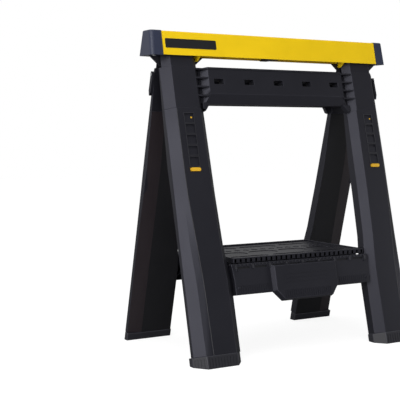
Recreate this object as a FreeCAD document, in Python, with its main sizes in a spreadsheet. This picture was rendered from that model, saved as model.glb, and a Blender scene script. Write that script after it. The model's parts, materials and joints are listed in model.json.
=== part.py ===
import FreeCAD, Part
import math
import os
import re
import Sketcher

# Folding, height-adjustable sawhorse.  X runs along the beam, the front is -Y, Z is up, and the
# origin is on the floor under the middle of the beam.  Each A-frame is drawn upright about its own
# hinge axis (local y = inwards, local z = up the leg) and is then leaned out to its open stance.

DRIVING_SIZES = [
    ("beam_length", 680, "top beam over its end caps"),
    ("beam_top", 738.5, "floor to the top of the steel beam"),
    ("beam_depth", 54.5, "height of the beam's side walls"),
    ("beam_crown", 40, "width over the beam's top"),
    ("beam_skirt", 64, "width over the beam's bottom edges"),
    ("beam_wall", 1.5, "steel thickness of the beam"),
    ("beam_lip", 3, "inward lip along each bottom edge"),
    ("beam_corner", 3.5, "outer radius along the beam's top edges"),
    ("cap_length", 30.5, "length of an end cap along the beam"),
    ("cap_wall", 10, "end wall of an end cap along its foot"),
    ("cap_slant", 2.5, "how much further out a cap's foot is than its top"),
    ("cap_proud", 1, "how far a cap stands over the steel"),
    ("cap_corner", 9, "radius of a cap's upright corners"),
    ("pivot_spread", 19.5, "leg hinge axis to the middle plane"),
    ("pivot_height", 700, "leg hinge axis above the floor"),
    ("pin_radius", 4, "leg hinge pin"),
    ("pin_play", 0.05, "radial running clearance of a hinge"),
    ("lug_radius", 6.5, "eye at the top of an inner leg"),
    ("splay", 14, "lean of each A-frame in degrees when open"),
    ("closed_lean", 4, "lean of each A-frame in degrees when folded"),
    ("leg_outer", 310, "outer side of a leg from the middle"),
    ("leg_inner", 212, "inner side of a leg at the top"),
    ("leg_face", 2, "outer face of a leg in front of its hinge axis"),
    ("leg_depth", 40, "full depth of a lower leg"),
    ("outer_bevel", 20, "bevel on the outer front corner of a leg"),
    ("inner_bevel", 17, "bevel on the inner front corner of a leg"),
    ("leg_wall", 2.2, "moulded wall around the inner leg"),
    ("slide_play", 0.4, "clearance around the inner leg"),
    ("rail_back", 17, "rear face of an inner leg"),
    ("rail_end", 330, "hinge axis to the end of the inner leg's tube"),
    ("rack_end", 425, "hinge axis to the end of the inner leg's rack strip"),
    ("rack_face", 12.6, "front face of the rack strip"),
    ("housing_top", 41.7, "hinge axis to the top of the upper frame"),
    ("crossbar_bottom", 126.8, "hinge axis to the crossbar's lower edge"),
    ("leg_seam", 139.6, "hinge axis to the seam above a lower leg"),
    ("foot_seam", 694, "hinge axis to the seam above a foot"),
    ("crossbar_end", 194, "half length of the crossbar's flat face"),
    ("crossbar_back", 20, "rear face of the crossbar"),
    ("crossbar_slope", 13.5, "run of the slope at each end of the crossbar's flat face"),
    ("crossbar_joint", 214, "half length of the crossbar where it enters the housings"),
    ("hook_spacing", 83.75, "spacing of the five hook slots"),
    ("hook_width", 26, "width of a hook slot"),
    ("hook_height", 12.4, "height of a hook slot"),
    ("hook_level", 75.7, "hinge axis to the middle of the hook slots"),
    ("height_step", 25.2, "spacing of the height windows"),
    ("height_steps", 5, "number of windows above the button"),
    ("window_level", 156.1, "hinge axis to the first height window"),
    ("window_centre", 260, "windows and buttons from the middle"),
    ("window_width", 22, "width of a height window"),
    ("button_width", 26, "length of the pill-shaped button"),
    ("button_height", 8, "height of the pill-shaped button"),
    ("button_proud", 2.5, "how far a button stands out of the leg"),
    ("apron_top", 500, "hinge axis to the top of an apron"),
    ("apron_bottom", 569.3, "hinge axis to the bottom of an apron"),
    ("apron_drop", 593, "hinge axis to the bottom of an apron's block"),
    ("apron_half", 192.5, "half length of an apron at its bottom"),
    ("apron_face", 2, "outer face of an apron behind the hinge plane"),
    ("apron_skin", 3, "moulded thickness of an apron"),
    ("apron_back", 24, "rear edge of an apron's flange"),
    ("tray_top", 223, "top of the tray above the floor"),
    ("tray_rim", 4, "rim of the tray above its top"),
    ("tray_half", 187.5, "half length of the tray"),
    ("tray_front", -134, "front edge of the tray"),
    ("tray_back", 97, "rear edge of the tray"),
    ("tray_hinge", 104, "tray hinge axis behind the middle plane"),
    ("tray_axis", 221, "tray hinge axis above the floor"),
    ("label_length", 134, "length of the blank label on the beam"),
    ("label_height", 22, "height of the blank label"),
    ("label_left", -302, "left end of the blank label"),
    ("label_foot", 16, "lower edge of the label above the beam's skirt"),
    ("label_skin", 0.8, "thickness of the blank label"),
    ("cheek_inner", 208.5, "inner cheek of a hinge bracket from the middle"),
    ("cheek_outer", 308, "outer cheek of a hinge bracket from the middle"),
    ("cheek_skin", 3, "thickness of a hinge bracket's cheeks"),
    ("bracket_half", 27, "half width of a hinge bracket at its shoulders"),
    ("bracket_crown", 17.5, "half width of a hinge bracket under the beam's top"),
    ("bracket_top", 736, "top of a hinge bracket above the floor"),
    ("bracket_tip", 673, "lowest edge of a bracket's inner cheek above the floor"),
    ("pin_length", 107.2, "length of a leg hinge pin"),
    ("gusset_bottom", 659, "lower edge of a gusset above the floor"),
    ("gusset_toe", 188, "end of a gusset nearest the middle"),
    ("gusset_heel", 330, "end of a gusset nearest the beam's end"),
    ("gusset_skin", 4, "thickness of a gusset"),
    ("button_travel", 3.5, "how far a button presses in"),
    ("leaf_skin", 0.5, "thickness of a button's leaf spring"),
    ("hinge_half", 120, "tray hinges from the middle"),
    ("tray_pin", 2.5, "radius of a tray hinge pin"),
    ("tray_barrel", 4.5, "radius of a tray hinge barrel"),
    ("tray_floor", 7.5, "depth of the tray below its top"),
    ("tray_lip", 10.5, "stiffening lip under the front of the tray"),
]

doc = FreeCAD.newDocument("folding_sawhorse")
sizes = doc.addObject("Spreadsheet::Sheet", "Sizes")
for row, (alias, number, note) in enumerate(DRIVING_SIZES, 1):
    sizes.set(f"A{row}", note)
    sizes.set(f"B{row}", str(number))
    sizes.setAlias(f"B{row}", alias)
doc.recompute()

ALIASES = re.compile(r"\b(" + "|".join(alias for alias, number, note in DRIVING_SIZES) + r")\b")


def cells(expression):
    """Write a size expression with the spreadsheet's name in front of each alias."""
    return ALIASES.sub(r"Sizes.\1", str(expression))


def size(expression):
    """Work out a size expression as a plain number."""
    return float(sizes.evalExpression(cells(expression).replace("Sizes.", "")))


# ---------------------------------------------------------------- drawing helpers

PIECES = []
SIDES = (("left", -1), ("right", 1))
HINGES = {"front": -1, "rear": 1}


def leaned(frame):
    """Placement of an A-frame: its hinge axis and its open lean, turned half round at the rear."""
    half_turn = FreeCAD.Rotation(FreeCAD.Vector(0, 0, 1), 180 if frame == "rear" else 0)
    lean = FreeCAD.Rotation(FreeCAD.Vector(1, 0, 0), -size("splay"))
    base = FreeCAD.Vector(0, HINGES[frame] * size("pivot_spread"), size("pivot_height"))
    return FreeCAD.Placement(base, half_turn.multiply(lean))


def local_side(frame, side):
    """Sign of a leg's x in its frame's own axes, which are turned half round at the rear."""
    return side if frame == "front" else -side


def piece(name, placement=None):
    """Start one sub-part as a body with its own label and placement."""
    body = doc.addObject("PartDesign::Body", name)
    body.Label = name
    body.Placement = placement or FreeCAD.Placement()
    PIECES.append(body)
    return body


def empty_sketch(body, role, level):
    """A sketch on one of the body's own origin planes, lifted along that plane's normal."""
    sketch = body.newObject("Sketcher::SketchObject", body.Name + "_outline")
    plane = next(feature for feature in body.Origin.OriginFeatures if feature.Role == role)
    sketch.AttachmentSupport = [(plane, "")]
    sketch.MapMode = "FlatFace"
    sketch.setExpression("AttachmentOffset.Base.z", cells(level))
    return sketch


def fix(sketch, kind, *arguments):
    """Add a dimension whose last argument is a size expression."""
    geometry, expression = arguments[:-1], arguments[-1]
    index = sketch.addConstraint(Sketcher.Constraint(kind, *geometry, size(expression)))
    sketch.setExpression(f"Constraints[{index}]", cells(expression))


def outline(body, role, points, level="0"):
    """A closed polygon through points given as pairs of size expressions."""
    sketch = empty_sketch(body, role, level)
    corners = [FreeCAD.Vector(size(across), size(up), 0) for across, up in points]
    for start, end in zip(corners, corners[1:] + corners[:1]):
        sketch.addGeometry(Part.LineSegment(start, end), False)
    for index, (across, up) in enumerate(points):
        sketch.addConstraint(Sketcher.Constraint("Coincident", (index - 1) % len(points), 2, index, 1))
        fix(sketch, "DistanceX", index, 1, across)
        fix(sketch, "DistanceY", index, 1, up)
    return sketch


def circles(body, role, centres, radius, level="0"):
    """Circles of one radius at centres given as pairs of size expressions."""
    sketch = empty_sketch(body, role, level)
    for index, (across, up) in enumerate(centres):
        centre = FreeCAD.Vector(size(across), size(up), 0)
        sketch.addGeometry(Part.Circle(centre, FreeCAD.Vector(0, 0, 1), size(radius)), False)
        fix(sketch, "DistanceX", index, 3, across)
        fix(sketch, "DistanceY", index, 3, up)
        fix(sketch, "Radius", index, radius)
    return sketch


def rectangle(left, right, bottom, top):
    """Corners of a rectangle from four size expressions."""
    return [(left, bottom), (right, bottom), (right, top), (left, top)]


def extrude(body, kind, sketch, length, backwards=False, both_ways=False):
    """Pad or pocket a sketch along its plane's normal, and check that this changed the solid."""
    before = body.Shape.Volume if body.Tip else 0
    feature = body.newObject("PartDesign::" + kind, body.Name + "_" + kind.lower())
    feature.Profile = sketch
    feature.SideType = "Symmetric" if both_ways else "One side"
    feature.Reversed = backwards if kind == "Pad" else not backwards
    feature.setExpression("Length", cells(length))
    doc.recompute()
    if abs(body.Shape.Volume - before) < 0.01:
        raise RuntimeError(f"{kind} in {body.Label} changed nothing")
    return feature


def loft(body, sections):
    """A ruled loft through outlines on levels of the body's XY plane."""
    sketches = [outline(body, "XY_Plane", points, level) for level, points in sections]
    feature = body.newObject("PartDesign::AdditiveLoft", body.Name + "_loft")
    feature.Profile = sketches[0]
    feature.Sections = sketches[1:]
    feature.Ruled = True
    doc.recompute()
    return feature


def soften(body, kind, radius, chosen):
    """Fillet or chamfer every edge of the body's tip that the given test picks."""
    base = body.Tip
    names = [f"Edge{i}" for i, edge in enumerate(base.Shape.Edges, 1) if chosen(edge)]
    feature = body.newObject("PartDesign::" + kind, body.Name + "_" + kind.lower())
    feature.Base = (base, names)
    feature.setExpression("Radius" if kind == "Fillet" else "Size", cells(radius))
    doc.recompute()
    return feature


def solids(name, shapes, placement=None):
    """One node of several separate solids, such as a set of screws."""
    group = doc.addObject("Part::Compound", name)
    group.Label = name
    group.Links = shapes
    group.Placement = placement or FreeCAD.Placement()
    PIECES.append(group)
    return group


def rod(name, radius, length, base, axis):
    """A plain round rod whose start is given by three size expressions."""
    cylinder = doc.addObject("Part::Cylinder", name)
    cylinder.setExpression("Radius", cells(radius))
    cylinder.setExpression("Height", cells(length))
    start = FreeCAD.Vector(*[size(value) for value in base])
    cylinder.Placement = FreeCAD.Placement(start, FreeCAD.Rotation(FreeCAD.Vector(0, 0, 1), axis))
    return cylinder


ALONG_X = FreeCAD.Vector(1, 0, 0)
ALONG_Y = FreeCAD.Vector(0, 1, 0)
ALONG_Z = FreeCAD.Vector(0, 0, 1)

# ---------------------------------------------------------------- the beam and its caps


def beam_section(grow, lift, floor):
    """Outer trapezoid of the beam, grown sideways and upwards by the given sizes."""
    return [
        (f"-beam_skirt / 2 - {grow}", floor),
        (f"beam_skirt / 2 + {grow}", floor),
        (f"beam_crown / 2 + {grow}", f"beam_top + {lift}"),
        (f"-beam_crown / 2 - {grow}", f"beam_top + {lift}"),
    ]


def along_x(edge):
    start, end = edge.firstVertex().Point, edge.lastVertex().Point
    return abs(start.y - end.y) < 1e-3 and abs(start.z - end.z) < 1e-3


def cavity_section(gap):
    """Space inside the beam above its lips, less an all-round gap."""
    return [
        (f"-beam_skirt / 2 + beam_wall + 0.3 + {gap}", f"beam_top - beam_depth + beam_wall + {gap}"),
        (f"beam_skirt / 2 - beam_wall - 0.3 - {gap}", f"beam_top - beam_depth + beam_wall + {gap}"),
        (f"beam_crown / 2 - beam_wall - {gap}", f"beam_top - beam_wall - {gap}"),
        (f"-beam_crown / 2 + beam_wall + {gap}", f"beam_top - beam_wall - {gap}"),
    ]


beam = piece("top_beam")
section = outline(beam, "YZ_Plane", beam_section("0", "0", "beam_top - beam_depth"))
extrude(beam, "Pad", section, "beam_length - 2 * cap_wall", both_ways=True)
soften(beam, "Fillet", "beam_corner", lambda e: along_x(e) and e.firstVertex().Point.z > size("beam_top - 1"))
section = outline(beam, "YZ_Plane", cavity_section("0"))
extrude(beam, "Pocket", section, "2 * beam_length", both_ways=True)
mouth = rectangle(
    "-beam_skirt / 2 + beam_wall + beam_lip",
    "beam_skirt / 2 - beam_wall - beam_lip",
    "beam_top - beam_depth - 1",
    "beam_top - beam_depth + beam_wall + 1",
)
extrude(beam, "Pocket", outline(beam, "YZ_Plane", mouth), "2 * beam_length", both_ways=True)

for word, side in SIDES:
    cap = piece(f"end_cap_{word}")
    inward = side > 0
    tip = f"{side} * beam_length / 2"
    section = beam_section("cap_proud", "cap_proud", "beam_top - beam_depth - cap_proud")
    extrude(cap, "Pad", outline(cap, "YZ_Plane", section, tip), "cap_length", backwards=inward)

    foot, crest = "beam_top - beam_depth - cap_proud", "beam_top + cap_proud"
    slanted_end = [(tip, foot), (f"{side} * (beam_length / 2 - cap_slant)", crest),
                   (f"{side} * (beam_length / 2 - cap_slant)", f"{crest} + 5"),
                   (f"{side} * (beam_length / 2 + 5)", f"{crest} + 5"),
                   (f"{side} * (beam_length / 2 + 5)", foot)]
    extrude(cap, "Pocket", outline(cap, "XZ_Plane", slanted_end), "2 * beam_skirt", both_ways=True)

    def outer_rim(edge, reach=size("beam_length / 2 - cap_slant - 0.1")):
        return all(abs(vertex.Point.x) > reach for vertex in edge.Vertexes)

    def upright_corner(edge):
        start, end = edge.firstVertex().Point, edge.lastVertex().Point
        return outer_rim(edge) and abs(start.z - end.z) > 10

    soften(cap, "Fillet", "cap_corner", upright_corner)
    top_level = size("beam_top + cap_proud - 0.1")

    def top_rim(edge, reach=size("beam_length / 2 - cap_length + 0.1")):
        on_top = all(vertex.Point.z > top_level for vertex in edge.Vertexes)
        return on_top and any(abs(vertex.Point.x) >= reach for vertex in edge.Vertexes)

    soften(cap, "Fillet", "beam_corner", top_rim)
    start = f"{side} * (beam_length / 2 - cap_length)"
    section = beam_section("0.1", "0.1", "beam_top - beam_depth")
    extrude(cap, "Pocket", outline(cap, "YZ_Plane", section, start), "cap_length - cap_wall",
            backwards=not inward)
    plug = outline(cap, "YZ_Plane", cavity_section("0.3"), f"{side} * (beam_length / 2 - cap_wall)")
    extrude(cap, "Pad", plug, "cap_length - cap_wall - 4", backwards=inward)

label = doc.addObject("Part::Box", "label_plate")
label.Label = "label_plate"
label.setExpression("Length", cells("label_length"))
label.setExpression("Height", cells("label_height"))
label.setExpression("Width", cells("label_skin"))
lean = math.atan(size("(beam_skirt - beam_crown) / 2 / beam_depth"))
wall_y = size("label_foot") * math.tan(lean) - size("beam_skirt / 2")
label_y = wall_y - size("label_skin") / math.cos(lean)
label.Placement = FreeCAD.Placement(
    FreeCAD.Vector(size("label_left"), label_y, size("beam_top - beam_depth + label_foot")),
    FreeCAD.Rotation(ALONG_X, -math.degrees(lean)),
)
PIECES.append(label)

clip = piece("beam_clip")
section = rectangle("-9", "9", "beam_top - beam_depth - 1.6", "beam_top - beam_depth")
extrude(clip, "Pad", outline(clip, "XZ_Plane", section), "beam_skirt - 8", both_ways=True)
section = rectangle("-7", "7", "beam_top - beam_depth", "beam_top - beam_depth + 8")
extrude(clip, "Pad", outline(clip, "XZ_Plane", section), "beam_skirt - 2 * (beam_wall + beam_lip) - 1",
        both_ways=True)

screws = []
for word, side in SIDES:
    for y in (-15, 15):
        x = f"{side} * (beam_length / 2 - cap_length / 2)"
        under_cap = "beam_top - beam_depth - cap_proud - 1.8"
        screws.append(rod(f"cap_screw_{word}", "3.5", "1.8", (x, y, under_cap), ALONG_Z))
solids("cap_screws", screws)

# ---------------------------------------------------------------- hinge brackets, pins and gussets

for word, side in SIDES:
    bracket = piece(f"hinge_bracket_{word}")
    shoulder = [("-bracket_crown", "bracket_top"), ("-bracket_half", "690"), ("-bracket_half", "684.5")]
    tip = [("-12", "bracket_tip"), ("12", "bracket_tip")]
    other_shoulder = [("bracket_half", "684.5"), ("bracket_half", "690"), ("bracket_crown", "bracket_top")]
    inner_cheek = outline(bracket, "YZ_Plane", shoulder + tip + other_shoulder, f"{side} * cheek_inner")
    extrude(bracket, "Pad", inner_cheek, "cheek_skin", backwards=side < 0)
    strip = rectangle("-bracket_crown + 0.5", "bracket_crown - 0.5", "bracket_top - 2.5", "bracket_top")
    web = outline(bracket, "YZ_Plane", strip, f"{side} * cheek_inner")
    extrude(bracket, "Pad", web, "cheek_outer + cheek_skin - cheek_inner", backwards=side < 0)
    outer_cheek = outline(bracket, "YZ_Plane", shoulder + other_shoulder, f"{side} * cheek_outer")
    extrude(bracket, "Pad", outer_cheek, "cheek_skin", backwards=side < 0)
    axes = [("-pivot_spread", "pivot_height"), ("pivot_spread", "pivot_height")]
    bores = circles(bracket, "YZ_Plane", axes, "pin_radius")
    extrude(bracket, "Pocket", bores, "2 * beam_length", both_ways=True)
    slot = rectangle("-gusset_skin / 2 - 0.1", "gusset_skin / 2 + 0.1", "gusset_bottom - 9", "690.5")
    extrude(bracket, "Pocket", outline(bracket, "YZ_Plane", slot), "2 * beam_length", both_ways=True)

    gusset = piece(f"gusset_{word}")
    shelf = "beam_top - beam_depth - 1.2"
    wing = [("gusset_toe", shelf), ("gusset_toe + 28", "gusset_bottom"),
            ("gusset_heel - 28", "gusset_bottom"), ("gusset_heel", shelf),
            ("cheek_outer + cheek_skin", shelf), ("cheek_outer + cheek_skin", "690"),
            ("cheek_inner", "690"), ("cheek_inner", shelf)]
    wing = [(f"{side} * ({across})", up) for across, up in wing]
    extrude(gusset, "Pad", outline(gusset, "XZ_Plane", wing), "gusset_skin", both_ways=True)

pins = []
for word, side in SIDES:
    for y in ("-pivot_spread", "pivot_spread"):
        start = "206" if side > 0 else "-206 - pin_length"
        head = "204" if side > 0 else "-206"
        pins.append(rod("hinge_pin", "pin_radius", "pin_length", (start, y, "pivot_height"), ALONG_X))
        pins.append(rod("hinge_pin_head", "lug_radius", "2", (head, y, "pivot_height"), ALONG_X))
shafts = []
for index in range(0, len(pins), 2):
    joined = doc.addObject("Part::Fuse", "hinge_pin_with_head")
    joined.Base = pins[index]
    joined.Tool = pins[index + 1]
    shafts.append(joined)
solids("hinge_pins", shafts)

# ---------------------------------------------------------------- one A-frame, built twice


def tube_section(side, gap):
    """Trapezoid of an inner leg, or of the channel round it, grown by a gap."""
    front = f"(leg_wall - leg_face + slide_play - {gap})"
    back = f"(rail_back + {gap})"
    outer = f"(leg_outer - outer_bevel + leg_face - 1.4142 * (leg_wall + slide_play - {gap}))"
    inner = f"(leg_inner + inner_bevel - leg_face + 1.4142 * (leg_wall + slide_play - {gap}))"
    return [
        (f"{side} * ({outer} + {back})", back),
        (f"{side} * ({outer} + {front})", front),
        (f"{side} * ({inner} - {front})", front),
        (f"{side} * ({inner} - {back})", back),
    ]


def leg_section(side, outer, inner, flat_outer, flat_inner, back, facet=0.4, dent=0.4, rebate=0.5):
    """Cross-section of a leg: back, outer side, bevel with its facet, front flat, inner bevel."""
    outer_corner = f"({flat_outer} - ({outer})) * -1 - leg_face"
    facet_x = f"({flat_outer} + {facet} * ({outer} - ({flat_outer})))"
    facet_y = f"({dent} * ({outer} - ({flat_outer})) - leg_face)"
    back_step = f"({outer} - 36)"
    corners = [
        (outer, f"{back} - {rebate}"),
        (outer, f"min({outer_corner}; 21)"),
        (facet_x, facet_y),
        (flat_outer, "-leg_face"),
        (flat_inner, "-leg_face"),
        (inner, "inner_bevel - leg_face"),
        (inner, back),
        (back_step, back),
    ]
    return [(f"{side} * ({across})", up) for across, up in corners]


def inner_limit(distance):
    """Rear face of a leg at a distance from its hinge: the folded frames meet along it."""
    return f"min(pivot_spread - 0.5 + {distance} * sin(closed_lean * 1deg); leg_depth - leg_face)"


def make_inner_leg(frame, word, side):
    """Telescoping leg: a trapezoid tube with an eye on top and a rack strip at its foot."""
    side = local_side(frame, side)
    leg = piece(f"inner_leg_{frame}_{word}", leaned(frame))
    profile = outline(leg, "XY_Plane", tube_section(side, "0"), "-rail_end")
    extrude(leg, "Pad", profile, "rail_end + 4")
    eye = circles(leg, "YZ_Plane", [("0", "0")], "lug_radius", f"{side} * window_centre")
    extrude(leg, "Pad", eye, "90", both_ways=True)
    bore = circles(leg, "YZ_Plane", [("0", "0")], "pin_radius + pin_play", f"{side} * window_centre")
    extrude(leg, "Pocket", bore, "200", both_ways=True)
    middle = f"{side} * window_centre"
    groove = rectangle(f"{middle} - 25", f"{middle} + 25", "-rail_end - 5", "-264")
    extrude(leg, "Pocket", outline(leg, "XZ_Plane", groove, "-rack_face"), "20")
    strip = rectangle(f"{middle} - 24", f"{middle} + 24", "rack_face", "rail_back")
    extrude(leg, "Pad", outline(leg, "XY_Plane", strip, "-rack_end"), "rack_end - rail_end + 2")
    first_hole = "window_level + height_steps * height_step"
    for step in range(6):
        level = f"({first_hole} + {step} * height_step)"
        hole = rectangle(f"{middle} - 9", f"{middle} + 9", f"-{level} - 5", f"-{level} + 5")
        extrude(leg, "Pocket", outline(leg, "XZ_Plane", hole, "-rail_back - 1"), "10")


def make_upper_frame(frame):
    """Upper moulding: two leg housings joined by the crossbar with its hook slots."""
    top = piece(f"{frame}_upper_frame", leaned(frame))
    bar = [("-crossbar_joint", "12"), ("-crossbar_end - crossbar_slope", "12"),
           ("-crossbar_end", "0.5 - leg_face"), ("crossbar_end", "0.5 - leg_face"),
           ("crossbar_end + crossbar_slope", "12"), ("crossbar_joint", "12"),
           ("crossbar_joint", "crossbar_back"), ("-crossbar_joint", "crossbar_back")]
    extrude(top, "Pad", outline(top, "XY_Plane", bar, "-crossbar_bottom"), "crossbar_bottom - housing_top")
    under_cut = [("-leg_face - 1", "-102.4"), ("10.5", "-crossbar_bottom - 1"),
                 ("-leg_face - 1", "-crossbar_bottom - 1")]
    face_length = "2 * (crossbar_end + crossbar_slope)"
    extrude(top, "Pocket", outline(top, "YZ_Plane", under_cut), face_length, both_ways=True)
    ledge = rectangle("-crossbar_end - crossbar_slope", "crossbar_end + crossbar_slope",
                      "-housing_top - 6.2", "-housing_top - 5")
    extrude(top, "Pocket", outline(top, "XZ_Plane", ledge, "leg_face - 1.5"), "20")
    for cell in range(6):
        left = f"-193 + {cell} * 64.6"
        under_hooks = "-hook_level - hook_height / 2 - 2"
        pocket = rectangle(left, f"{left} + 62.6", "-crossbar_bottom + 16", under_hooks)
        extrude(top, "Pocket", outline(top, "XZ_Plane", pocket, "-crossbar_back - 1"), "crossbar_back - 3")
        shelf = rectangle(left, f"{left} + 62.6", "-hook_level + hook_height / 2 + 2", "-housing_top - 3")
        extrude(top, "Pocket", outline(top, "XZ_Plane", shelf, "-crossbar_back - 1"), "crossbar_back - 3")
    for hook in range(-2, 3):
        slot = rectangle(f"{hook} * hook_spacing - hook_width / 2", f"{hook} * hook_spacing + hook_width / 2",
                         "-hook_level - hook_height / 2", "-hook_level + hook_height / 2")
        extrude(top, "Pocket", outline(top, "XZ_Plane", slot, "-crossbar_back - 1"), "2 * crossbar_back")
    for word, side in SIDES:
        flats = ("leg_outer - outer_bevel", "leg_inner + inner_bevel")
        sections = [
            (f"-{level}", leg_section(side, "leg_outer", "leg_inner", *flats, inner_limit(level)))
            for level in ("leg_seam", "housing_top")
        ]
        loft(top, sections)
        corner = [("208.8", "-crossbar_bottom + 2"), ("193", "-crossbar_bottom + 2"),
                  ("195", "-crossbar_bottom"), ("208.8", "-crossbar_bottom - 18")]
        corner = [(f"{side} * {across}", up) for across, up in corner]
        extrude(top, "Pad", outline(top, "XZ_Plane", corner, "-5"), "14", backwards=True)
        stub = rectangle(f"{side} * (crossbar_joint - 6)", f"{side} * crossbar_joint",
                         "-leg_seam", "-crossbar_bottom + 2")
        extrude(top, "Pad", outline(top, "XZ_Plane", stub, "-5"), "14", backwards=True)
        for rib in range(4):
            level = f"-44.5 - {rib} * 21"
            bridge = [(f"{side} * 229", "-leg_face + 0.6"), (f"{side} * 211", "16"), (f"{side} * 205", "13"),
                      (f"{side} * (crossbar_end - 1)", "-leg_face + 1")]
            extrude(top, "Pad", outline(top, "XY_Plane", bridge, level), "4", backwards=True)
        channel = outline(top, "XY_Plane", tube_section(side, "slide_play"), "-leg_seam - 1")
        extrude(top, "Pocket", channel, "leg_seam")


def make_lower_leg(frame, word, side):
    """Lower leg: a hollow moulding that widens at tray level, with windows and a button hole."""
    side = local_side(frame, side)
    leg = piece(f"lower_leg_{frame}_{word}", leaned(frame))
    stations = [
        ("leg_seam", "leg_outer", "leg_inner - 2", "leg_outer - 20", "leg_inner + 15", 0.4, 0.4, 0.5),
        ("272", "leg_outer", "leg_inner - 4", "leg_outer - 20.5", "leg_inner + 13", 0.4, 0.4, 2),
        ("340", "leg_outer", "leg_inner - 5", "leg_outer - 21.5", "leg_inner + 12", 0.4, 0.4, 4),
        ("454", "leg_outer + 0.5", "leg_inner - 9", "leg_outer - 29", "leg_inner + 8", 0.42, 0.25, 6),
        ("536", "leg_outer + 0.6", "leg_inner - 19", "leg_outer - 34", "leg_inner + 2", 0.42, 0.13, 6.4),
        ("foot_seam", "leg_outer + 0.8", "leg_inner - 19", "leg_outer - 37", "leg_inner + 2", 0.42, 0.12, 6.4),
    ]
    sections = []
    for level, outer, inner, flat_outer, flat_inner, facet, dent, rebate in reversed(stations):
        back = inner_limit(level)
        section = leg_section(side, outer, inner, flat_outer, flat_inner, back, facet, dent, rebate)
        sections.append((f"-{level}", section))
    loft(leg, sections)
    channel = outline(leg, "XY_Plane", tube_section(side, "slide_play"), "-rail_end - 5")
    extrude(leg, "Pocket", channel, "rail_end")
    middle = f"{side} * window_centre"
    rack_room = rectangle(f"{middle} - 27", f"{middle} + 27", "leg_face + 2", "rail_back + slide_play")
    extrude(leg, "Pocket", outline(leg, "XY_Plane", rack_room, "-rack_end - 5"), "rack_end")
    hollow = rectangle(f"{side} * (leg_inner + 4)", f"{side} * (leg_outer - 27)", "4.5", "leg_depth - 10")
    extrude(leg, "Pocket", outline(leg, "XY_Plane", hollow, "-foot_seam - 1"), "foot_seam - rack_end - 14")
    for step in range(5):
        level = f"(window_level + {step} * height_step)"
        frame_edge = rectangle(f"{middle} - window_width / 2 - 1", f"{middle} + window_width / 2 + 1",
                               f"-{level} - 17", f"-{level} + 4")
        extrude(leg, "Pocket", outline(leg, "XZ_Plane", frame_edge, "leg_face + 1"), "2", backwards=True)
        slot = rectangle(f"{middle} - window_width / 2", f"{middle} + window_width / 2",
                         f"-{level} - 2.6", f"-{level} + 2.6")
        extrude(leg, "Pocket", outline(leg, "XZ_Plane", slot, "leg_face + 1"), "4", backwards=True)
    level = "(window_level + height_steps * height_step)"
    hole = rectangle(f"{middle} - button_width / 2 - 0.4", f"{middle} + button_width / 2 + 0.4",
                     f"-{level} - button_height / 2 - 0.4", f"-{level} + button_height / 2 + 0.4")
    extrude(leg, "Pocket", outline(leg, "XZ_Plane", hole, "leg_face + 1"), "4", backwards=True)


def floor_level(depth):
    """Level of the floor in a leaned frame's own axes at a depth behind the hinge axis."""
    return f"-pivot_height / cos(splay * 1deg) + ({depth}) * tan(splay * 1deg)"


def make_foot(frame, word, side):
    """Foot: a block that caps the leg, is cut level with the floor and plugs into the hollow."""
    side = local_side(frame, side)
    foot = piece(f"foot_{frame}_{word}", leaned(frame))
    block = [("leg_outer + 2.3", "leg_depth - 1"), ("leg_outer + 2.3", "24"),
             ("leg_outer - 19.2", "-leg_face - 2"), ("leg_inner", "-leg_face - 2"),
             ("leg_inner - 20.5", "20"), ("leg_inner - 20.5", "leg_depth - 1")]
    block = [(f"{side} * ({across})", up) for across, up in block]
    extrude(foot, "Pad", outline(foot, "XY_Plane", block, "-foot_seam - 50"), "50")
    sole = [("-20", floor_level("-20")), ("60", floor_level("60")),
            ("60", "-foot_seam - 80"), ("-20", "-foot_seam - 80")]
    extrude(foot, "Pocket", outline(foot, "YZ_Plane", sole), "2 * beam_length", both_ways=True)
    plug = rectangle(f"{side} * (leg_inner + 4.4)", f"{side} * (leg_outer - 27.4)", "4.9", "leg_depth - 10.4")
    extrude(foot, "Pad", outline(foot, "XY_Plane", plug, "-foot_seam"), "22")


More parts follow.
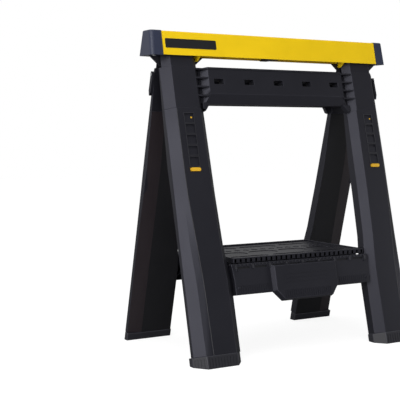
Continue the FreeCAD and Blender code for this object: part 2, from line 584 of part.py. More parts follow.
def make_apron(frame):
    """Lower stretcher: a moulded panel with a lower centre block and crossed ribs behind."""
    apron = piece(f"{frame}_apron", leaned(frame))
    edge = [("-apron_half - 4", "-apron_top"), ("-apron_half", "-536"), ("-apron_half", "-apron_bottom"),
            ("apron_half", "-apron_bottom"), ("apron_half", "-536"), ("apron_half + 4", "-apron_top")]
    panel = outline(apron, "XZ_Plane", edge, "-apron_face")
    extrude(apron, "Pad", panel, "apron_back - apron_face", backwards=True)
    room = rectangle("-apron_half + 3", "apron_half - 3", "-apron_bottom + 3", "-apron_top - 3")
    back = "apron_back - apron_face - apron_skin"
    extrude(apron, "Pocket", outline(apron, "XZ_Plane", room, "-apron_back"), back)
    rib_y = "-apron_face - apron_skin"
    for bay in range(-4, 4):
        left, right = f"{bay} * 46.6", f"({bay} + 1) * 46.6"
        for low, high in (("-apron_bottom + 1", "-apron_top - 1"), ("-apron_top - 1", "-apron_bottom + 1")):
            bar = [(left, low), (f"{left} + 2.5", low), (right, high), (f"{right} - 2.5", high)]
            extrude(apron, "Pad", outline(apron, "XZ_Plane", bar, rib_y), "12", backwards=True)
    middle = apron.newObject("PartDesign::AdditiveLoft", apron.Name + "_block")
    wide = [("-95", "-apron_top - 6"), ("-95", "-apron_bottom"), ("-72", "-apron_drop"),
            ("72", "-apron_drop"), ("95", "-apron_bottom"), ("95", "-apron_top - 6")]
    narrow = [("-87", "-apron_top - 12"), ("-87", "-apron_bottom + 3"), ("-69", "-apron_drop + 3"),
              ("69", "-apron_drop + 3"), ("87", "-apron_bottom + 3"), ("87", "-apron_top - 12")]
    middle.Profile = outline(apron, "XZ_Plane", wide, "-apron_face - apron_skin")
    middle.Sections = [outline(apron, "XZ_Plane", narrow, "8")]
    middle.Ruled = True
    apron.Tip = middle
    doc.recompute()


def make_button(frame, word, side):
    """Height button: a pill through the leg wall, its flange, its cup and its two leaf springs."""
    side = local_side(frame, side)
    level = "(window_level + height_steps * height_step)"
    centre_x = f"{side} * window_centre"
    button = piece(f"height_button_{frame}_{word}", leaned(frame))
    pill = rectangle(f"{centre_x} - button_width / 2", f"{centre_x} + button_width / 2",
                     f"-{level} - button_height / 2", f"-{level} + button_height / 2")
    front = "leg_face + button_proud"
    extrude(button, "Pad", outline(button, "XZ_Plane", pill, front), f"{front} + 0.8", backwards=True)

    def through_wall(edge):
        return abs(edge.firstVertex().Point.y - edge.lastVertex().Point.y) > 1

    soften(button, "Fillet", "button_height / 2 - 0.05", through_wall)
    flange = rectangle(f"{centre_x} - 17.5", f"{centre_x} + 17.5", f"-{level} - 7", f"-{level} + 7")
    extrude(button, "Pad", outline(button, "XZ_Plane", flange, "-0.7"), "1.8", backwards=True)
    stem = circles(button, "XZ_Plane", [(centre_x, f"-{level}")], "2.5", "-2.4")
    extrude(button, "Pad", stem, "3.6", backwards=True)

    cup = piece(f"lock_cup_{frame}_{word}", leaned(frame))
    plate = rectangle(f"{centre_x} - 23", f"{centre_x} + 23", f"-{level} - 9", f"-{level} + 9")
    extrude(cup, "Pad", outline(cup, "XZ_Plane", plate, "-10.6"), "1.7", backwards=True)
    for end in (-1, 1):
        post = rectangle(f"{centre_x} + {end} * 21.5 - 1.5", f"{centre_x} + {end} * 21.5 + 1.5",
                         f"-{level} - 9", f"-{level} + 9")
        extrude(cup, "Pad", outline(cup, "XZ_Plane", post, "-leg_wall + leg_face"), "11.5", backwards=True)
    ring = circles(cup, "XZ_Plane", [(centre_x, f"-{level}")], "6.6", "-6.6")
    extrude(cup, "Pad", ring, "4.5", backwards=True)
    bore = circles(cup, "XZ_Plane", [(centre_x, f"-{level}")], "5.4", "-6")
    extrude(cup, "Pocket", bore, "4.6", backwards=True)

    spring = piece(f"button_spring_{frame}_{word}", leaned(frame))
    near, far = "2.6", "(2.6 + 4.3)"
    hairpin = [(near, "-6.5"), (near, "6.5"), (far, "6.5"), (far, "-6.5"), (f"{far} - leaf_skin", "-6.5"),
               (f"{far} - leaf_skin", "6.5 - leaf_skin"), (f"{near} + leaf_skin", "6.5 - leaf_skin"),
               (f"{near} + leaf_skin", "-6.5")]
    hairpin = [(depth, f"{up} - {level}") for depth, up in hairpin]
    for end in (-1, 1):
        leaf = outline(spring, "YZ_Plane", hairpin, f"{centre_x} + {end} * 11")
        extrude(spring, "Pad", leaf, "5", both_ways=True)


for frame in ("front", "rear"):
    make_upper_frame(frame)
    make_apron(frame)
    marks = []
    screws = []
    for word, side in SIDES:
        make_inner_leg(frame, word, side)
        make_lower_leg(frame, word, side)
        make_foot(frame, word, side)
        make_button(frame, word, side)
        beside = f"{local_side(frame, side)} * window_centre + 6"
        spot = (beside, "-leg_face + 0.05", "-window_level - 6")
        marks.append(rod("height_mark", "1.8", "0.95", spot, ALONG_Y))
        for level in ("-apron_top - 14", "-apron_bottom + 14"):
            screw_x = f"{side} * (apron_half - 10)"
            screws.append(rod("apron_screw", "4", "1.6", (screw_x, "apron_face - 1.6", level), ALONG_Y))
    solids(f"{frame}_height_marks", marks, leaned(frame))
    solids(f"{frame}_apron_screws", screws, leaned(frame))

# ---------------------------------------------------------------- the tray and its hinge

tray = piece("tray")
deck = rectangle("-tray_half", "tray_half", "tray_front", "tray_back")
extrude(tray, "Pad", outline(tray, "XY_Plane", deck, "tray_top - tray_floor"), "tray_floor + tray_rim")
well = rectangle("-tray_half + 5", "tray_half - 5", "tray_front + 7", "tray_back - 7")
extrude(tray, "Pocket", outline(tray, "XY_Plane", well, "tray_top + tray_rim"), "tray_rim", backwards=True)
for bay in range(4):
    left = f"-tray_half + 4 + {bay} * 95.4"
    for low, high in (("tray_front + 24", "-25"), ("-22", "tray_back - 4")):
        bay_outline = rectangle(left, f"{left} + 92.5", low, high)
        extrude(tray, "Pocket", outline(tray, "XY_Plane", bay_outline, "tray_top - tray_floor"), "4.5")
for side in (-1, 1):
    middle = f"{side} * hinge_half"
    barrel = circles(tray, "YZ_Plane", [("tray_hinge", "tray_axis")], "tray_barrel", middle)
    extrude(tray, "Pad", barrel, "30", both_ways=True)
    leaf = rectangle("tray_back - 2", "tray_hinge", "tray_axis - 4", "tray_axis")
    extrude(tray, "Pad", outline(tray, "YZ_Plane", leaf, middle), "30", both_ways=True)
lip = rectangle("tray_front + 21", "tray_front + 24", "tray_top - tray_floor - tray_lip", "tray_top - 3")
extrude(tray, "Pad", outline(tray, "YZ_Plane", lip), "2 * tray_half - 8", both_ways=True)
bore = circles(tray, "YZ_Plane", [("tray_hinge", "tray_axis")], "tray_pin + pin_play")
extrude(tray, "Pocket", bore, "2 * beam_length", both_ways=True)

ears = piece("tray_hinge_ears")
for side in (-1, 1):
    for offset in (-17.2, 17.2):
        ear = [("tray_hinge - 4.5", "tray_axis + 4.5"), ("tray_hinge + 4.5", "tray_axis + 4.5"),
               ("tray_hinge + 15", "tray_axis - 9"), ("tray_hinge + 10", "tray_axis - 17"),
               ("tray_hinge - 4.5", "tray_axis - 5")]
        extrude(ears, "Pad", outline(ears, "YZ_Plane", ear, f"{side} * hinge_half + {offset}"), "3.4",
                both_ways=True)
bore = circles(ears, "YZ_Plane", [("tray_hinge", "tray_axis")], "tray_pin")
extrude(ears, "Pocket", bore, "2 * beam_length", both_ways=True)

pins = []
for side in (-1, 1):
    start = (f"{side} * hinge_half - 20.5", "tray_hinge", "tray_axis")
    pins.append(rod("tray_hinge_pin", "tray_pin", "41", start, ALONG_X))
solids("tray_hinge_pins", pins)

# ---------------------------------------------------------------- carry latches on two outer sides

for frame, side in (("front", 1), ("rear", -1)):
    latch = piece(f"{frame}_latch", leaned(frame))
    arm = [("16", "-49"), ("24", "-49"), ("25.5", "-64"), ("24.5", "-96"), ("19", "-105"), ("15", "-94")]
    extrude(latch, "Pad", outline(latch, "YZ_Plane", arm, "leg_outer + 0.4"), "6")
    bore = circles(latch, "YZ_Plane", [("20.5", "-55")], "2 + pin_play")
    extrude(latch, "Pocket", bore, "2 * beam_length", both_ways=True)
    stud = rod(f"{frame}_latch_stud_rod", "2", "8", ("leg_outer", "20.5", "-55"), ALONG_X)
    head = rod(f"{frame}_latch_stud_head", "3.6", "1.4", ("leg_outer + 6.6", "20.5", "-55"), ALONG_X)
    joined = doc.addObject("Part::Fuse", f"{frame}_latch_stud")
    joined.Label = joined.Name
    joined.Base = stud
    joined.Tool = head
    joined.Placement = leaned(frame)
    PIECES.append(joined)

# ---------------------------------------------------------------- check and export

doc.recompute()
for thing in doc.Objects:
    if "Invalid" in thing.State or "Error" in thing.State:
        raise RuntimeError(f"{thing.Label} failed: {thing.State}")
os.makedirs("parts", exist_ok=True)
for sub_part in PIECES:
    shape = sub_part.Shape
    if shape.isNull() or not shape.isValid():
        raise RuntimeError(f"{sub_part.Label} has no valid shape")
    shape.exportStep(f"parts/{sub_part.Label}.step")
    print(sub_part.Label, len(shape.Solids), "solid(s)", round(shape.Volume / 1000, 1), "cm3")
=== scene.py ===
import json
import math
import bmesh
import bpy
from mathutils import Matrix, Vector


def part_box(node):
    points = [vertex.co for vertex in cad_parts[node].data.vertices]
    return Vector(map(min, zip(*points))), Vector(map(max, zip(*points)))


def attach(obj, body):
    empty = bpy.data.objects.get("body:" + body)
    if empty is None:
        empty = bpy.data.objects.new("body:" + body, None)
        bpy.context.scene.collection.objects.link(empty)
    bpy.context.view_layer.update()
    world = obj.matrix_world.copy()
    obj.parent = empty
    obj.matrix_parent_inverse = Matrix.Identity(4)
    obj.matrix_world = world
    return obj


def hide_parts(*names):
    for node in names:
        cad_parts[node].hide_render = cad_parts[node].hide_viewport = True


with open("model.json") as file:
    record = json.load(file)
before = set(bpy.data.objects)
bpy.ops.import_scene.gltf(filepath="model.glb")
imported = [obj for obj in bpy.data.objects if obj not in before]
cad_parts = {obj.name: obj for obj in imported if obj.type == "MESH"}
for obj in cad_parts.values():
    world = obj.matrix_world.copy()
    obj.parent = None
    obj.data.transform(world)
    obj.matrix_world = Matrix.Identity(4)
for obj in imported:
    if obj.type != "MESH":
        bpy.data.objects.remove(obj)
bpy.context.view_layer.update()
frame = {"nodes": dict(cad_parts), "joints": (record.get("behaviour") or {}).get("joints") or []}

# ---------------------------------------------------------------- the studio
# A plain pale floor runs into a white surround. One broad soft lamp on the left rakes the bevels of
# the legs and one overhead opens the tops. Weaker lamps in front and on the right lift the dark faces.

MM = 0.001

reach = 8.0
floor_mesh = bpy.data.meshes.new("studio_floor")
floor_mesh.from_pydata([(-reach, -reach, 0), (reach, -reach, 0), (reach, reach, 0), (-reach, reach, 0)], [],
                       [(0, 1, 2, 3)])
studio_floor = bpy.data.objects.new("studio_floor", floor_mesh)
bpy.context.scene.collection.objects.link(studio_floor)
floor_finish = bpy.data.materials.new("pale_floor")
floor_finish.use_nodes = True
nodes, links = floor_finish.node_tree.nodes, floor_finish.node_tree.links
nodes.remove(nodes["Principled BSDF"])
bounce = nodes.new("ShaderNodeBsdfDiffuse")
bounce.inputs["Color"].default_value = (0.30, 0.30, 0.31, 1)
paint = nodes.new("ShaderNodeBsdfDiffuse")
paint.inputs["Color"].default_value = (0.30, 0.30, 0.30, 1)
glow = nodes.new("ShaderNodeEmission")
glow.inputs["Strength"].default_value = 0.86
lit_floor = nodes.new("ShaderNodeAddShader")
seen = nodes.new("ShaderNodeLightPath")
either = nodes.new("ShaderNodeMixShader")
links.new(paint.outputs[0], lit_floor.inputs[0])
links.new(glow.outputs[0], lit_floor.inputs[1])
links.new(seen.outputs["Is Camera Ray"], either.inputs[0])
links.new(bounce.outputs[0], either.inputs[1])
links.new(lit_floor.outputs[0], either.inputs[2])
links.new(either.outputs[0], nodes["Material Output"].inputs["Surface"])
floor_mesh.materials.append(floor_finish)

surround = bpy.data.worlds.new("studio_surround")
surround.use_nodes = True
bpy.context.scene.world = surround
nodes, links = surround.node_tree.nodes, surround.node_tree.links
backdrop = nodes["Background"]
direction = nodes.new("ShaderNodeTexCoord")
toward_light = nodes.new("ShaderNodeVectorMath")
toward_light.operation = "DOT_PRODUCT"
toward_light.inputs[1].default_value = (-0.62, 0.62, 0.48)
falloff = nodes.new("ShaderNodeMapRange")
falloff.inputs["From Min"].default_value = -0.75
falloff.inputs["From Max"].default_value = 0.55
falloff.inputs["To Min"].default_value = 0.06
falloff.inputs["To Max"].default_value = 0.60
seen = nodes.new("ShaderNodeLightPath")
strength = nodes.new("ShaderNodeMix")
strength.inputs[3].default_value = 1.0
links.new(direction.outputs["Generated"], toward_light.inputs[0])
links.new(toward_light.outputs["Value"], falloff.inputs["Value"])
links.new(seen.outputs["Is Camera Ray"], strength.inputs[0])
links.new(falloff.outputs["Result"], strength.inputs[2])
links.new(strength.outputs[0], backdrop.inputs["Strength"])
backdrop.inputs["Color"].default_value = (1, 1, 1, 1)


def soft_lamp(name, place, target, width, height, power):
    """A rectangular studio lamp aimed at a point."""
    light = bpy.data.lights.new(name, "AREA")
    light.shape = "RECTANGLE"
    light.size = width
    light.size_y = height
    light.energy = power
    lamp = bpy.data.objects.new(name, light)
    lamp.location = place
    lamp.rotation_euler = (Vector(target) - Vector(place)).to_track_quat("-Z", "Y").to_euler()
    bpy.context.scene.collection.objects.link(lamp)


soft_lamp("left_softbox", (-2.5, -1.55, 0.95), (0, 0, 0.35), 1.5, 2.2, 50)
soft_lamp("overhead_softbox", (-0.3, -0.6, 2.6), (0, 0, 0.4), 2.2, 2.2, 15)
soft_lamp("front_fill", (-0.9, -3.0, 1.1), (0, 0, 0.45), 1.2, 1.2, 16)
soft_lamp("right_kicker", (2.4, -1.3, 0.5), (0, 0, 0.3), 0.8, 1.6, 9)

view_data = bpy.data.cameras.new("viewpoint")
view_data.sensor_width = 36
view_data.lens = 87.4
view_data.shift_y = -0.018
view_data.clip_end = 50
viewpoint = bpy.data.objects.new("viewpoint", view_data)
viewpoint.location = (-1.3518, -1.9628, 0.5108)
viewpoint.rotation_euler = (math.radians(90 - 3.6), 0, math.radians(-30.5))
bpy.context.scene.collection.objects.link(viewpoint)
bpy.context.scene.camera = viewpoint
bpy.context.scene.view_settings.view_transform = "Standard"

# ---------------------------------------------------------------- top beam
# The beam is a channel folded from 1.5 mm steel sheet, open underneath, with a small lip along each
# bottom edge. It is powder coated yellow, semi-gloss, with the faint orange peel of a baked coat.


def rounded_copy(node, radius=0.7 * MM, bend=25):
    """A working copy of a CAD piece whose longer outside edges are rounded, as a mould leaves them."""
    shape = bmesh.new()
    shape.from_mesh(frame["nodes"][node].data)
    for face in shape.faces:
        face.material_index = 0
    bmesh.ops.remove_doubles(shape, verts=shape.verts, dist=0.01 * MM)
    bmesh.ops.dissolve_limit(shape, angle_limit=math.radians(1), verts=shape.verts, edges=shape.edges)
    sharp = [edge for edge in shape.edges
             if edge.is_manifold and edge.is_convex and edge.calc_face_angle(0) > math.radians(bend)]
    roomy = [edge for edge in sharp
             if all(near.calc_length() > 2.4 * radius for vertex in edge.verts for near in vertex.link_edges)]
    # Faces made by the rounding are marked; the finishes paint them paler, partly as rubbed wear and partly
    # as painted highlight.
    wear_and_highlight = shape.faces.layers.float.new("edge_wear_and_highlight")
    made = bmesh.ops.bevel(shape, geom=roomy, offset=radius, offset_type="OFFSET", segments=3, profile=0.5,
                           affect="EDGES", clamp_overlap=False)
    for face in made["faces"]:
        face[wear_and_highlight] = 1.0
    return shape


def settle(shape, name, finish, body, slot_name, *stands_for, crease=38):
    """Turn a working shape into a finished piece: shaded smooth up to a crease, on its body."""
    wear_and_highlight = shape.faces.layers.float.get("edge_wear_and_highlight")
    for edge in shape.edges:
        rounding = wear_and_highlight and any(face[wear_and_highlight] for face in edge.link_faces)
        edge.smooth = edge.calc_face_angle(0) < math.radians(38 if rounding else crease)
    for face in shape.faces:
        face.smooth = True
    mesh = bpy.data.meshes.new(name)
    shape.to_mesh(mesh)
    shape.free()
    for material in finish if isinstance(finish, tuple) else (finish,):
        mesh.materials.append(material)
    piece = bpy.data.objects.new(name, mesh)
    bpy.context.scene.collection.objects.link(piece)
    weigh = piece.modifiers.new("weighted_normals", "WEIGHTED_NORMAL")
    weigh.keep_sharp = True
    evaluated = piece.evaluated_get(bpy.context.evaluated_depsgraph_get())
    piece.data = bpy.data.meshes.new_from_object(evaluated)
    piece.modifiers.clear()
    bpy.data.meshes.remove(mesh)
    piece.data.name = name
    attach(piece, body)
    if stands_for:
        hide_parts(*stands_for)
    return piece


def moulded(name, colour, lighter, rough, grain_depth, grain_scale=900.0, coat=0.0, sheen=0.5):
    """A moulded or coated finish: slight mottling, a fine texture and paler rounded edges, partly rubbed wear
    and partly painted highlight.
    """
    material = bpy.data.materials.new(name)
    material.use_nodes = True
    nodes, links = material.node_tree.nodes, material.node_tree.links
    shader = nodes["Principled BSDF"]
    place = nodes.new("ShaderNodeTexCoord")
    cloud = nodes.new("ShaderNodeTexNoise")
    cloud.inputs["Scale"].default_value = 11.0
    cloud.inputs["Detail"].default_value = 5.0
    tint = nodes.new("ShaderNodeMix")
    tint.data_type = "RGBA"
    tint.inputs[6].default_value = (*[channel * 0.88 for channel in colour], 1)
    tint.inputs[7].default_value = (*[channel * 1.12 for channel in colour], 1)
    # The rounding mark mixes in the paler edge colour: partly rubbed wear, partly painted highlight.
    wear_highlight_reader = nodes.new("ShaderNodeAttribute")
    wear_highlight_reader.attribute_name = "edge_wear_and_highlight"
    patchy = nodes.new("ShaderNodeMath")
    patchy.operation = "MULTIPLY"
    rubbed_and_highlit = nodes.new("ShaderNodeMix")
    rubbed_and_highlit.data_type = "RGBA"
    rubbed_and_highlit.inputs[7].default_value = (*lighter, 1)
    gloss = nodes.new("ShaderNodeMapRange")
    gloss.inputs["To Min"].default_value = rough - 0.06
    gloss.inputs["To Max"].default_value = rough + 0.08
    grain = nodes.new("ShaderNodeTexNoise")
    grain.inputs["Scale"].default_value = grain_scale
    grain.inputs["Detail"].default_value = 2.0
    bump = nodes.new("ShaderNodeBump")
    bump.inputs["Strength"].default_value = 0.5
    bump.inputs["Distance"].default_value = grain_depth
    links.new(place.outputs["Object"], cloud.inputs["Vector"])
    links.new(place.outputs["Object"], grain.inputs["Vector"])
    links.new(cloud.outputs["Fac"], tint.inputs[0])
    links.new(cloud.outputs["Fac"], gloss.inputs["Value"])
    links.new(wear_highlight_reader.outputs["Fac"], patchy.inputs[0])
    links.new(cloud.outputs["Fac"], patchy.inputs[1])
    links.new(patchy.outputs[0], rubbed_and_highlit.inputs[0])
    links.new(tint.outputs[2], rubbed_and_highlit.inputs[6])
    links.new(rubbed_and_highlit.outputs[2], shader.inputs["Base Color"])
    links.new(gloss.outputs["Result"], shader.inputs["Roughness"])
    links.new(grain.outputs["Fac"], bump.inputs["Height"])
    links.new(bump.outputs["Normal"], shader.inputs["Normal"])
    shader.inputs["Specular IOR Level"].default_value = sheen
    shader.inputs["Coat Weight"].default_value = coat
    shader.inputs["Coat Roughness"].default_value = 0.25
    return material


yellow_coat = moulded("yellow_powder_coat", (0.93, 0.62, 0.004), (0.95, 0.72, 0.05), rough=0.42,
                      grain_depth=0.05 * MM, grain_scale=260.0, sheen=0.3)
settle(rounded_copy("top_beam", 0.5 * MM), "beam_channel", yellow_coat, "beam", "yellow_steel", "top_beam")

# ---------------------------------------------------------------- end caps
# Each end of the beam is closed by a slate-grey moulded cap that slips over the steel. Its two long
# faces carry three shallow drop-shaped dimples, and a pair of screws holds it from below.

slate = moulded("slate_moulding", (0.024, 0.030, 0.060), (0.08, 0.09, 0.14), rough=0.42,
                grain_depth=0.05 * MM)


def flank(shape, direction):
    """A working shape's largest flat side that faces roughly one way."""
    facing = [face for face in shape.faces if face.normal.dot(Vector(direction)) > 0.85]
    return max(facing, key=lambda face: face.calc_area())


def cut(shape, cutter, name):
    """Take a cutter shape away from a working shape."""
    solids = []
    for part, part_name in ((shape, name), (cutter, name + "_cutter")):
        mesh = bpy.data.meshes.new(part_name)
        part.to_mesh(mesh)
        part.free()
        solid = bpy.data.objects.new(part_name, mesh)
        bpy.context.scene.collection.objects.link(solid)
        solids.append(solid)
    body, tool = solids
    boolean = body.modifiers.new("cut", "BOOLEAN")
    boolean.operation = "DIFFERENCE"
    boolean.solver = "EXACT"
    boolean.use_self = True
    boolean.object = tool
    evaluated = body.evaluated_get(bpy.context.evaluated_depsgraph_get())
    result = bmesh.new()
    mesh = bpy.data.meshes.new_from_object(evaluated)
    result.from_mesh(mesh)
    bpy.data.meshes.remove(mesh)
    for solid in solids:
        spent = solid.data
        bpy.data.objects.remove(solid)
        bpy.data.meshes.remove(spent)
    for face in result.faces:
        face.material_index = min(face.material_index, 2)
    return result


def basis(origin, across, outward, up):
    """A placement whose x, y and z run across, out of and up a flat side."""
    turned = Matrix((across, outward, up)).transposed().to_4x4()
    return Matrix.Translation(origin) @ turned


def drop(width, height, depth):
    """A drop-shaped cutter, round below and drawn out above, lying in the face y = 0."""
    shape = bmesh.new()
    made = bmesh.ops.create_uvsphere(shape, u_segments=20, v_segments=16, radius=1.0)
    for vertex in made["verts"]:
        across, deep, up = vertex.co
        stretch = 2.0 if up > 0 else 1.0
        vertex.co = Vector((across * width / 2, deep * depth, up * stretch * height / 3))
    return shape


def blank_object(name, shape):
    """Put a working shape into an object of its own, as a pattern for a row."""
    mesh = bpy.data.meshes.new(name)
    shape.to_mesh(mesh)
    shape.free()
    return bpy.data.objects.new(name, mesh)


def row_tree():
    """Nodes that set out copies of a pattern along a straight line."""
    tree = bpy.data.node_groups.new("row_of_copies", "GeometryNodeTree")
    tree.interface.new_socket("Geometry", in_out="INPUT", socket_type="NodeSocketGeometry")
    for label, kind in (("Pattern", "NodeSocketObject"), ("Count", "NodeSocketInt"),
                        ("First", "NodeSocketVector"), ("Step", "NodeSocketVector"),
                        ("Loose turn", "NodeSocketFloat"), ("Seed", "NodeSocketInt"),
                        ("Finish", "NodeSocketMaterial")):
        tree.interface.new_socket(label, in_out="INPUT", socket_type=kind)
    tree.interface.new_socket("Row", in_out="OUTPUT", socket_type="NodeSocketGeometry")
    entry = tree.nodes.new("NodeGroupInput")
    leave = tree.nodes.new("NodeGroupOutput")
    line = tree.nodes.new("GeometryNodeMeshLine")
    line.mode = "OFFSET"
    pattern = tree.nodes.new("GeometryNodeObjectInfo")
    chance = tree.nodes.new("FunctionNodeRandomValue")
    chance.data_type = "FLOAT"
    backwards = tree.nodes.new("ShaderNodeMath")
    backwards.operation = "MULTIPLY"
    backwards.inputs[1].default_value = -1.0
    turn = tree.nodes.new("ShaderNodeCombineXYZ")
    place = tree.nodes.new("GeometryNodeInstanceOnPoints")
    realize = tree.nodes.new("GeometryNodeRealizeInstances")
    finish = tree.nodes.new("GeometryNodeSetMaterial")
    link = tree.links.new
    link(entry.outputs["Pattern"], pattern.inputs["Object"])
    link(entry.outputs["Count"], line.inputs["Count"])
    link(entry.outputs["First"], line.inputs["Start Location"])
    link(entry.outputs["Step"], line.inputs["Offset"])
    link(entry.outputs["Loose turn"], backwards.inputs[0])
    link(backwards.outputs[0], chance.inputs[2])
    link(entry.outputs["Loose turn"], chance.inputs[3])
    link(entry.outputs["Seed"], chance.inputs["Seed"])
    link(chance.outputs[1], turn.inputs["Y"])
    link(line.outputs["Mesh"], place.inputs["Points"])
    link(pattern.outputs["Geometry"], place.inputs["Instance"])
    link(turn.outputs[0], place.inputs["Rotation"])
    link(place.outputs["Instances"], realize.inputs["Geometry"])
    link(realize.outputs["Geometry"], finish.inputs["Geometry"])
    link(entry.outputs["Finish"], finish.inputs["Material"])
    link(finish.outputs["Geometry"], leave.inputs["Row"])
    return tree


ROW = row_tree()


def bake(tree, values):
    """Run a tree once with named values and hand back its result as a working shape."""
    holder = bpy.data.objects.new("holder", bpy.data.meshes.new("holder"))
    bpy.context.scene.collection.objects.link(holder)
    modifier = holder.modifiers.new("set_out", "NODES")
    modifier.node_group = tree
    sockets = {item.name: item.identifier for item in tree.interface.items_tree if item.in_out == "INPUT"}
    for label, value in values.items():
        modifier[sockets[label]] = value
    evaluated = holder.evaluated_get(bpy.context.evaluated_depsgraph_get())
    mesh = bpy.data.meshes.new_from_object(evaluated)
    shape = bmesh.new()
    shape.from_mesh(mesh)
    holder.modifiers.clear()
    spent = holder.data
    bpy.data.objects.remove(holder)
    bpy.data.meshes.remove(spent)
    bpy.data.meshes.remove(mesh)
    return shape


def row(pattern, count, first, step, finish, place=Matrix(), loose_turn=0.0):
    """Copies of a pattern along a line in a side's own axes, then put in place."""
    model = blank_object("pattern", pattern)
    shape = bake(ROW, {"Pattern": model, "Count": count, "First": tuple(first), "Step": tuple(step),
                       "Loose turn": loose_turn, "Seed": 7, "Finish": finish})
    spent = model.data
    bpy.data.objects.remove(model)
    bpy.data.meshes.remove(spent)
    shape.transform(place)
    return shape


def together(*shapes):
    """Several working shapes in one."""
    whole = shapes[0]
    for shape in shapes[1:]:
        mesh = bpy.data.meshes.new("joined")
        shape.to_mesh(mesh)
        shape.free()
        whole.from_mesh(mesh)
        bpy.data.meshes.remove(mesh)
    return whole


dimple_wide, dimple_tall, dimple_deep, dimple_pitch = 3 * MM, 14 * MM, 0.7 * MM, 4.6 * MM
dimple_below_top, dimple_off_middle = 27.5 * MM, 6.2 * MM
for word, side in (("left", -1), ("right", 1)):
    node = f"end_cap_{word}"
    low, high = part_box(node)
    shell = rounded_copy(node, 0.8 * MM)
    dimples = []
    for facing in (-1, 1):
        wall = flank(shell, (0, facing, 0))
        outward = wall.normal.copy()
        across = Vector((facing, 0, 0))
        upward = across.cross(outward)
        middle = wall.calc_center_median()
        start = side * (abs(low.x + high.x) / 2 + dimple_off_middle)
        rise = high.z - dimple_below_top
        spot = middle + upward * ((rise - middle.z) / upward.z)
        spot.x = start
        place = basis(spot, across, outward, upward)
        step = (facing * side * -dimple_pitch, 0, 0)
        shape = drop(dimple_wide, dimple_tall, dimple_deep)
        dimples.append(row(shape, 3, (0, 0, 0), step, slate, place))
    settle(cut(shell, together(*dimples), node), f"cap_shell_{word}", slate, "beam", "grey_plastic", node)

steel = moulded("zinc_plate", (0.50, 0.51, 0.52), (0.7, 0.7, 0.7), rough=0.32, grain_depth=0.02 * MM,
                grain_scale=500.0)
steel.node_tree.nodes["Principled BSDF"].inputs["Metallic"].default_value = 1.0


def cross_head(radius, rise, recess):
    """A domed screw head with a cross recess, standing on the face y = 0 and facing -y."""
    head = bmesh.new()
    rings = ((1.0, 0.0), (1.0, 0.25), (0.93, 0.6), (0.75, 0.88), (0.4, 1.0))
    around = 20
    loops = []
    turns = [math.tau * k / around for k in range(around)]
    for wide, tall in rings:
        loops.append([head.verts.new((radius * wide * math.cos(turn), -rise * tall,
                                      radius * wide * math.sin(turn))) for turn in turns])
    for lower, upper in zip(loops, loops[1:]):
        for k in range(around):
            head.faces.new((lower[k], upper[k], upper[(k + 1) % around], lower[(k + 1) % around]))
    head.faces.new(loops[0])
    head.faces.new(loops[-1])
    bmesh.ops.recalc_face_normals(head, faces=head.faces)
    blades = []
    for long_x, long_z in ((0.55, 0.13), (0.13, 0.55)):
        blade = bmesh.new()
        bmesh.ops.create_cube(blade, size=2.0)
        for vertex in blade.verts:
            vertex.co = Vector((vertex.co.x * radius * long_x, vertex.co.y * recess - rise,
                                vertex.co.z * radius * long_z))
        blades.append(blade)
    return cut(head, together(*blades), "screw_head")


def settle_screws(node, radius, rise, finish, body, slot_name, across, outward):
    """Replace the plain round screws of a node by cross-headed ones, one row for each line of screws."""
    plain = bmesh.new()
    plain.from_mesh(frame["nodes"][node].data)
    bmesh.ops.remove_doubles(plain, verts=plain.verts, dist=0.01 * MM)
    centres = []
    left = set(plain.verts)
    while left:
        island, todo = set(), [left.pop()]
        while todo:
            vertex = todo.pop()
            island.add(vertex)
            for edge in vertex.link_edges:
                other = edge.other_vert(vertex)
                if other in left:
                    left.discard(other)
                    todo.append(other)
        centre = sum((vertex.co for vertex in island), Vector()) / len(island)
        depth = min((vertex.co - centre).dot(outward) for vertex in island)
        centres.append(centre + outward * depth)
    plain.free()
    upward = across.cross(-outward)
    heads = []
    levels = sorted({round(centre.dot(upward), 4) for centre in centres})
    for level in levels:
        line = sorted((c for c in centres if round(c.dot(upward), 4) == level), key=lambda c: c.dot(across))
        place = basis(line[0], across, -outward, upward)
        step = ((line[-1] - line[0]).dot(across) / max(len(line) - 1, 1), 0, 0)
        heads.append(row(cross_head(radius, rise, 0.6 * rise), len(line), (0, 0, 0), step, finish, place,
                         loose_turn=0.9))
    settle(together(*heads), node + "_heads", finish, body, slot_name, node)


settle_screws("cap_screws", 3.5 * MM, 1.8 * MM, steel, "beam", "zinc_steel",
              Vector((1, 0, 0)), Vector((0, 0, -1)))

# ---------------------------------------------------------------- label plate
# A thin blank plate with rounded corners is stuck to the front wall of the beam at its left end.
# It is a black printed film, smooth and slightly glossy, with a fine raised border.

label_gloss = moulded("label_film", (0.010, 0.010, 0.012), (0.03, 0.03, 0.03), rough=0.33,
                      grain_depth=0.01 * MM, grain_scale=400.0, coat=0.3)
plate = bmesh.new()
plate.from_mesh(frame["nodes"]["label_plate"].data)
bmesh.ops.remove_doubles(plate, verts=plate.verts, dist=0.01 * MM)
bmesh.ops.dissolve_limit(plate, angle_limit=math.radians(1), verts=plate.verts, edges=plate.edges)
short = [edge for edge in plate.edges if edge.calc_length() < 1 * MM]
bmesh.ops.bevel(plate, geom=short, offset=3 * MM, segments=6, profile=0.5, affect="EDGES")
rim_edges = [edge for edge in plate.edges if edge.calc_face_angle(0) > math.radians(60)]
bmesh.ops.bevel(plate, geom=rim_edges, offset=0.2 * MM, segments=2, profile=0.5, affect="EDGES")
front = flank(plate, (0, -1, 0))
bmesh.ops.inset_individual(plate, faces=[front], thickness=1.2 * MM, depth=0)
bmesh.ops.inset_individual(plate, faces=[front], thickness=0.2 * MM, depth=-0.25 * MM)
settle(plate, "blank_label", label_gloss, "beam", "label_film", "label_plate", crease=60)

